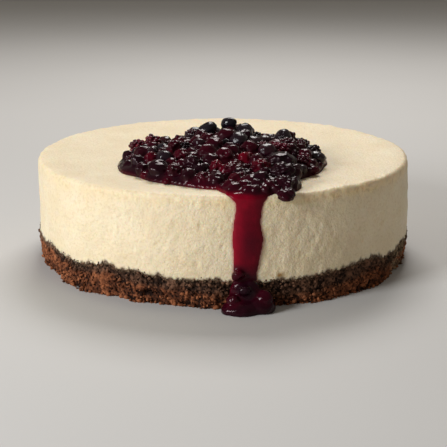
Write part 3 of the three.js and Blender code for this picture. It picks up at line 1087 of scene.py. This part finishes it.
def rough_sauce(berries):
    """Every part of the sauce in one mesh, still crossing: pool, drip, puddle and the coated berries."""
    parts = [pool_shell(berries), drip_shell()]
    parts += [blob(middle, halves) for middle, halves in FOOT_LUMPS]
    rng = np.random.default_rng(12)
    for berry in berries:
        if berry["coated"]:
            thicker = dict(berry, r=berry["r"] + COAT)
            maker = smooth_berry if berry["kind"] == "smooth" else bramble_berry
            parts.append(maker(thicker, rng)[:2])
    faces = []
    start = 0
    for points, polygons in parts:
        faces += (polygons + start).tolist()
        start += len(points)
    mesh = bpy.data.meshes.new("rough_sauce")
    mesh.from_pydata((np.concatenate([points for points, _ in parts]) * MM).tolist(), [], faces)
    return mesh


def sauce_lumps(points):
    """How uneven the sauce is: fine on the heap, coarser at the foot, and even where it is thin."""
    on_heap = smoothstep(points[:, 2], 64, 68)
    at_foot = 1 - smoothstep(points[:, 2], 18, 24)
    uneven = 0.3 + 0.7 * smoothstep(depth_over_cake(points), 2, 7)
    lumps = on_heap * uneven * (0.4 * noise(points, 4, 61) + 0.35 * noise(points, 2, 62))
    return lumps + at_foot * (0.8 * noise(points, 6, 64) + 0.25 * noise(points, 3, 65))


def sauce(berries):
    """One closed body of sauce, fused out of its parts."""
    mesh = modified(
        rough_sauce(berries),
        ("REMESH", {"mode": "VOXEL", "voxel_size": SAUCE_VOXEL * MM}),
        ("SMOOTH", {"factor": 0.5, "iterations": 3}),
    )
    points, normals = points_of(mesh)
    points = points + normals * sauce_lumps(points)[:, None]
    points[:, 2] = np.maximum(points[:, 2], 0)
    move_points(mesh, points)
    mesh = modified(mesh, ("DECIMATE", {"ratio": SAUCE_FACES_KEPT}))
    piece = bpy.data.objects.new("sauce_body", mesh)
    bpy.context.scene.collection.objects.link(piece)
    dress(piece, sauce_material(), "sauce", "sauce")
    points, normals = points_of(mesh)
    paint(mesh, "redness", sauce_redness(points, berries))
    paint(mesh, "steep", (1 - smoothstep(normals[:, 2], 0.1, 0.45)) * smoothstep(points[:, 2], 18, 24))


def modified(mesh, *modifiers):
    """A new mesh with modifiers applied. Each modifier is its kind and its settings."""
    carrier = bpy.data.objects.new("carrier", mesh)
    bpy.context.scene.collection.objects.link(carrier)
    for kind, settings in modifiers:
        modifier = carrier.modifiers.new(kind, kind)
        for key, value in settings.items():
            setattr(modifier, key, value)
    depsgraph = bpy.context.evaluated_depsgraph_get()
    result = bpy.data.meshes.new_from_object(carrier.evaluated_get(depsgraph))
    bpy.data.objects.remove(carrier)
    return result


def drip_redness_and_light(points):
    """Brighter down the left of the drip, towards the key lamp, a painted light, and darker to the right, a
    painted shade; bright at its top too, dark in the middle, and darkest half way down.
    """
    left, right = drip_edges(points[:, 2])
    across = (points[:, 0] - left) / (right - left) + 0.06 * noise(points, 10, 71)
    bright_to = 0.1 + 0.4 * smoothstep(points[:, 2], 54, 62)
    redness = 0.97 - 0.17 * smoothstep(across, bright_to, bright_to + 0.4)
    blot = np.exp(-(((points[:, 2] - 38) / 7) ** 2)) * np.exp(-(((across - 0.6) / 0.25) ** 2))
    return redness - 0.25 * blot - 0.3 * (1 - smoothstep(points[:, 2], 20, 28))


def sauce_redness(points, berries):
    """Bright where the sauce is thin, with painted light and shade down the drip, and tinted by the berry
    that each point is nearest to.
    """
    depth = depth_over_cake(points)
    x = points[:, 0]
    brightest = 0.46 + 0.34 * smoothstep(x, -30, 0) - 0.35 * smoothstep(x, 30, 42)
    brightest -= 0.3 * (1 - smoothstep(points[:, 2], 18, 24))
    redness = brightest - 0.4 * smoothstep(depth, 0, 4) - 0.1 * smoothstep(points[:, 2], 64, 66)
    redness = np.maximum(redness, 0.12)
    on_side = smoothstep(-points[:, 1], 98, 106) * smoothstep(points[:, 2], 20, 24)
    on_side *= 1 - smoothstep(points[:, 2], 64, 66.5)
    # Down the drip the redness holds painted light on its left and painted shade on its right.
    redness += on_side * (drip_redness_and_light(points) - redness)
    weight = np.full(len(points), 0.15)
    total = weight * redness
    for berry in berries:
        away = np.linalg.norm(points - berry["middle"], axis=1) - berry["r"]
        near = np.exp(-np.maximum(away, 0) / 0.8)
        weight += near
        total += near * berry["redness"]
    return total / weight


def cooked(points, berry, rng):
    """Softens a unit berry out of its true shape, turns it and puts it in its place."""
    place = 10 * points + 7 * berry["middle"]
    slump = np.stack([noise(place, 12, 51 + axis) for axis in range(3)], axis=1)
    dents = noise(place, 7, 55) + 0.6 * noise(place, 3.2, 56) - 0.5 * np.abs(noise(place, 2, 57))
    shape = points * (1 + 0.08 * dents)[:, None] + 0.15 * slump
    shape = shape * rng.uniform(0.78, 1.1, 3) @ turned(rng).T
    return shape * berry["r"] * (1, 1, 0.92) + berry["middle"]


def smooth_berry(berry, rng):
    """A round berry with a crown at one end."""
    points, faces = icosphere(4)
    crown = np.arccos(np.clip(points[:, 2], -1, 1))
    star = 0.34 + 0.05 * np.cos(5 * np.arctan2(points[:, 1], points[:, 0]))
    edge = 0.09 * np.exp(-(((crown - star) / 0.07) ** 2))
    ridge = edge - 0.16 * (1 - smoothstep(crown, star - 0.16, star))
    return cooked(points * (1 + ridge)[:, None], berry, rng), faces, [berry["redness"]]


def bramble_berry(berry, rng):
    """A berry of many drupelets, laid in a spiral over a blunt cone."""
    drupelet, faces = icosphere(2)
    parts = [(drupelet * 0.75, faces, [berry["redness"]])]
    for number in range(DRUPELETS):
        level = 1 - 2 * (number + 0.5) / DRUPELETS
        turn = number * GOLDEN_ANGLE
        ring = math.sqrt(1 - level * level)
        centre = np.array([ring * math.cos(turn), ring * math.sin(turn), 1.1 * level]) * 0.77
        centre += rng.normal(0, 0.03, 3)
        size = 0.27 * rng.uniform(0.85, 1.15)
        redness = np.clip(berry["redness"] + rng.normal(0, 0.1), 0, 1)
        parts.append((drupelet * size + centre, faces, [redness]))
    points, triangles, redness = joined(parts)
    return cooked(points, berry, rng), triangles, redness


def berries_of(kind, maker, name, material, berries, *nodes):
    """All the berries of a kind that the sauce doesn't coat, as one piece."""
    rng = np.random.default_rng(len(kind))
    parts = [maker(berry, rng) for berry in berries if berry["kind"] == kind and not berry["coated"]]
    points, triangles, redness = joined(parts)
    points[:, 2] = np.maximum(points[:, 2], 0)
    piece = new_piece(name, points, triangles.tolist(), material, "berries", *nodes)
    paint(piece.data, "redness", redness[:, 0])


# The stage

def camera():
    """The photo's view: 15.8 degrees down on the cake from the side that the sauce runs down."""
    data = bpy.data.cameras.new("camera")
    data.sensor_width = 36
    data.lens = CAMERA["lens"]
    view = bpy.data.objects.new("camera", data)
    bpy.context.scene.collection.objects.link(view)
    elevation = math.radians(CAMERA["elevation"])
    target = Vector(CAMERA["target"])
    away = Vector((0, -math.cos(elevation), math.sin(elevation)))
    view.location = target + CAMERA["distance"] * away
    view.rotation_euler = (target - view.location).to_track_quat("-Z", "Y").to_euler()
    bpy.context.scene.camera = view


def lamp(name, place, size, watts, color):
    """A square area light that points at the cake."""
    data = bpy.data.lights.new(name, "AREA")
    data.shape = "SQUARE"
    data.size = size
    data.energy = watts
    data.color = color
    light = bpy.data.objects.new(name, data)
    bpy.context.scene.collection.objects.link(light)
    light.location = place
    light.rotation_euler = (Vector(LAMPS_AIM) - light.location).to_track_quat("-Z", "Y").to_euler()


def pale_floor():
    """A plain floor, a little uneven in tone."""
    material, tree, shader = new_material("pale_floor")
    pale = ramp_node(tree, noise_node(tree, 400, 2), [(0.3, (0.54, 0.53, 0.52)), (0.7, (0.56, 0.55, 0.54))])
    tree.links.new(pale, shader.inputs["Base Color"])
    shader.inputs["Roughness"].default_value = 0.7
    mesh = bpy.data.meshes.new("floor")
    corners = [(FLOOR_REACH * x, FLOOR_REACH * y, 0) for x, y in ((-1, -1), (1, -1), (1, 1), (-1, 1))]
    mesh.from_pydata(corners, [], [(0, 1, 2, 3)])
    mesh.materials.append(material)
    floor = bpy.data.objects.new("floor", mesh)
    bpy.context.scene.collection.objects.link(floor)


def room_light():
    """Plain soft studio light: the room all round, and two square lamps."""
    world = bpy.data.worlds.new("studio")
    world.use_nodes = True
    background = world.node_tree.nodes["Background"]
    background.inputs["Color"].default_value = ROOM["color"]
    background.inputs["Strength"].default_value = ROOM["strength"]
    bpy.context.scene.world = world
    for name, settings in LAMPS.items():
        lamp(name, **settings)
    bpy.context.scene.view_settings.view_transform = "Standard"


camera()
berries = heap_berries() + [seated(berry) for berry in FOOT_BERRIES]
filling()
base = crumb_base()
crumb_grains(base.data.materials[0])
sauce(berries)
smooth_skin = berry_material("berry_skin", 2, 0.25)
bramble_skin = berry_material("bramble_skin", 0.8, 0.05)
berries_of("smooth", smooth_berry, "smooth_berries", smooth_skin, berries,
           "berry_heap", "foot_berry_1", "foot_berry_2", "foot_berry_3")
berries_of("bramble", bramble_berry, "bramble_berries", bramble_skin, berries, "foot_berry_4")
pale_floor()
room_light()
